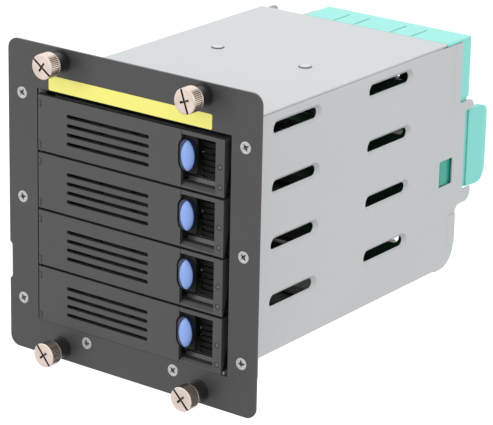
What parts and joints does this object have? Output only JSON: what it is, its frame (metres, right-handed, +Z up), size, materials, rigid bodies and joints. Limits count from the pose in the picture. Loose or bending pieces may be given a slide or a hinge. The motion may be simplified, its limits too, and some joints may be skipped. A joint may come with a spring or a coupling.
{
  "type": "hot swap drive cage",
  "caption": "Sheet metal drive cage behind a wide front plate, with sliding drive trays that have hinged vented levers and blue release buttons, and a fan holder that snaps into the rear.",
  "frame": {"origin": "centre of the front plate's front face, midway between the four thumbscrew axes", "axes": "+X to the right seen from the front, +Y to the rear along the tray slides, +Z up"},
  "size_m": [0.1516, 0.2365, 0.1586],
  "materials": {
    "black_steel": "textured satin",
    "zinc_sheet": "satin",
    "yellow_film": "gloss",
    "bright_nickel": "polished",
    "spring_steel": "satin",
    "black_plastic": "fine texture",
    "button_blue": "satin",
    "clear_plastic": "gloss",
    "board_green": "satin",
    "socket_black": "satin",
    "socket_cream": "satin",
    "fan_black": "satin",
    "teal_plastic": "satin"
  },
  "bodies": {
    "chassis": {"front_plate": "black_steel", "label_strip": "yellow_film", "plate_screws": "bright_nickel", "cage_body": "zinc_sheet", "top_cover": "zinc_sheet", "guide_rails_right": "zinc_sheet", "guide_rails_left": "zinc_sheet", "backplane_board": "board_green", "drive_seats": "socket_black", "data_sockets": "socket_black", "power_inlets": "socket_cream", "backplane_brackets": "zinc_sheet", "backplane_screws": "bright_nickel", "fan_bracket": "zinc_sheet", "thumbscrew_retainers": "black_plastic"},
    "tray_1": {"tray_frame_1": "black_plastic", "tray_bezel_1": "black_plastic", "lever_pin_1": "spring_steel", "light_pipes_1": "clear_plastic", "button_spring_1": "spring_steel"},
    "lever_1": {"tray_lever_1": "black_plastic"},
    "button_1": {"release_button_1": "button_blue"},
    "tray_2": {"tray_frame_2": "black_plastic", "tray_bezel_2": "black_plastic", "lever_pin_2": "spring_steel", "light_pipes_2": "clear_plastic", "button_spring_2": "spring_steel"},
    "lever_2": {"tray_lever_2": "black_plastic"},
    "button_2": {"release_button_2": "button_blue"},
    "tray_3": {"tray_frame_3": "black_plastic", "tray_bezel_3": "black_plastic", "lever_pin_3": "spring_steel", "light_pipes_3": "clear_plastic", "button_spring_3": "spring_steel"},
    "lever_3": {"tray_lever_3": "black_plastic"},
    "button_3": {"release_button_3": "button_blue"},
    "tray_4": {"tray_frame_4": "black_plastic", "tray_bezel_4": "black_plastic", "lever_pin_4": "spring_steel", "light_pipes_4": "clear_plastic", "button_spring_4": "spring_steel"},
    "lever_4": {"tray_lever_4": "black_plastic"},
    "button_4": {"release_button_4": "button_blue"},
    "fan_module": {"fan_holder": "teal_plastic", "fan_frame": "fan_black"},
    "fan_wheel": {"fan_rotor": "fan_black"},
    "latch_right": {"fan_latch_right": "teal_plastic"},
    "latch_left": {"fan_latch_left": "teal_plastic"},
    "push_top_left": {"thumbscrew_washer_top_left": "spring_steel", "thumbscrew_spring_top_left": "spring_steel"},
    "screw_top_left": {"thumbscrew_top_left": "bright_nickel"},
    "push_top_right": {"thumbscrew_washer_top_right": "spring_steel", "thumbscrew_spring_top_right": "spring_steel"},
    "screw_top_right": {"thumbscrew_top_right": "bright_nickel"},
    "push_bottom_left": {"thumbscrew_washer_bottom_left": "spring_steel", "thumbscrew_spring_bottom_left": "spring_steel"},
    "screw_bottom_left": {"thumbscrew_bottom_left": "bright_nickel"},
    "push_bottom_right": {"thumbscrew_washer_bottom_right": "spring_steel", "thumbscrew_spring_bottom_right": "spring_steel"},
    "screw_bottom_right": {"thumbscrew_bottom_right": "bright_nickel"}
  },
  "joints": [
    {"name": "tray_slide_1", "type": "slide", "parent": "chassis", "child": "tray_1", "axis": [0, -1, 0], "range_m": [0, 0.15]},
    {"name": "lever_swing_1", "type": "hinge", "parent": "tray_1", "child": "lever_1", "pos_m": [-0.0562, 0.0009, -0.0479], "axis": [0, 0, -1], "range_deg": [0, 75]},
    {"name": "button_press_1", "type": "slide", "parent": "tray_1", "child": "button_1", "axis": [1, 0, 0], "range_m": [0, 0.003], "stiffness_N_per_m": 300, "springref_m": -0.002, "deforming": ["button_spring_1"]},
    {"name": "tray_slide_2", "type": "slide", "parent": "chassis", "child": "tray_2", "axis": [0, -1, 0], "range_m": [0, 0.15]},
    {"name": "lever_swing_2", "type": "hinge", "parent": "tray_2", "child": "lever_2", "pos_m": [-0.0562, 0.0009, -0.0187], "axis": [0, 0, -1], "range_deg": [0, 75]},
    {"name": "button_press_2", "type": "slide", "parent": "tray_2", "child": "button_2", "axis": [1, 0, 0], "range_m": [0, 0.003], "stiffness_N_per_m": 300, "springref_m": -0.002, "deforming": ["button_spring_2"]},
    {"name": "tray_slide_3", "type": "slide", "parent": "chassis", "child": "tray_3", "axis": [0, -1, 0], "range_m": [0, 0.15]},
    {"name": "lever_swing_3", "type": "hinge", "parent": "tray_3", "child": "lever_3", "pos_m": [-0.0562, 0.0009, 0.0105], "axis": [0, 0, -1], "range_deg": [0, 75]},
    {"name": "button_press_3", "type": "slide", "parent": "tray_3", "child": "button_3", "axis": [1, 0, 0], "range_m": [0, 0.003], "stiffness_N_per_m": 300, "springref_m": -0.002, "deforming": ["button_spring_3"]},
    {"name": "tray_slide_4", "type": "slide", "parent": "chassis", "child": "tray_4", "axis": [0, -1, 0], "range_m": [0, 0.15]},
    {"name": "lever_swing_4", "type": "hinge", "parent": "tray_4", "child": "lever_4", "pos_m": [-0.0562, 0.0009, 0.0397], "axis": [0, 0, -1], "range_deg": [0, 75]},
    {"name": "button_press_4", "type": "slide", "parent": "tray_4", "child": "button_4", "axis": [1, 0, 0], "range_m": [0, 0.003], "stiffness_N_per_m": 300, "springref_m": -0.002, "deforming": ["button_spring_4"]},
    {"name": "fan_module_slide", "type": "slide", "parent": "chassis", "child": "fan_module", "axis": [0, 1, 0], "range_m": [0, 0.035]},
    {"name": "fan_spin", "type": "hinge", "parent": "fan_module", "child": "fan_wheel", "pos_m": [0.0128, 0.19, 0.0153], "axis": [0, 1, 0], "continuous": true},
    {"name": "latch_right_press", "type": "hinge", "parent": "fan_module", "child": "latch_right", "pos_m": [0.0561, 0.1778, 0], "axis": [0, 0, 1], "range_deg": [0, 3], "stiffness_Nm_per_rad": 2, "springref_deg": -2.86},
    {"name": "latch_left_press", "type": "hinge", "parent": "fan_module", "child": "latch_left", "pos_m": [-0.0305, 0.1778, 0], "axis": [0, 0, -1], "range_deg": [0, 3], "stiffness_Nm_per_rad": 2, "springref_deg": -2.86},
    {"name": "thumb_push_top_left", "type": "slide", "parent": "chassis", "child": "push_top_left", "axis": [0, 1, 0], "range_m": [0, 0.0038], "stiffness_N_per_m": 400, "springref_m": -0.004, "deforming": ["thumbscrew_spring_top_left"]},
    {"name": "thumb_turn_top_left", "type": "hinge", "parent": "push_top_left", "child": "screw_top_left", "pos_m": [-0.0425, -0.01, 0.073], "axis": [0, 1, 0], "continuous": true},
    {"name": "thumb_push_top_right", "type": "slide", "parent": "chassis", "child": "push_top_right", "axis": [0, 1, 0], "range_m": [0, 0.0038], "stiffness_N_per_m": 400, "springref_m": -0.004, "deforming": ["thumbscrew_spring_top_right"]},
    {"name": "thumb_turn_top_right", "type": "hinge", "parent": "push_top_right", "child": "screw_top_right", "pos_m": [0.0425, -0.01, 0.073], "axis": [0, 1, 0], "continuous": true},
    {"name": "thumb_push_bottom_left", "type": "slide", "parent": "chassis", "child": "push_bottom_left", "axis": [0, 1, 0], "range_m": [0, 0.0038], "stiffness_N_per_m": 400, "springref_m": -0.004, "deforming": ["thumbscrew_spring_bottom_left"]},
    {"name": "thumb_turn_bottom_left", "type": "hinge", "parent": "push_bottom_left", "child": "screw_bottom_left", "pos_m": [-0.0425, -0.01, -0.073], "axis": [0, 1, 0], "continuous": true},
    {"name": "thumb_push_bottom_right", "type": "slide", "parent": "chassis", "child": "push_bottom_right", "axis": [0, 1, 0], "range_m": [0, 0.0038], "stiffness_N_per_m": 400, "springref_m": -0.004, "deforming": ["thumbscrew_spring_bottom_right"]},
    {"name": "thumb_turn_bottom_right", "type": "hinge", "parent": "push_bottom_right", "child": "screw_bottom_right", "pos_m": [0.0425, -0.01, -0.073], "axis": [0, 1, 0], "continuous": true}
  ]
}
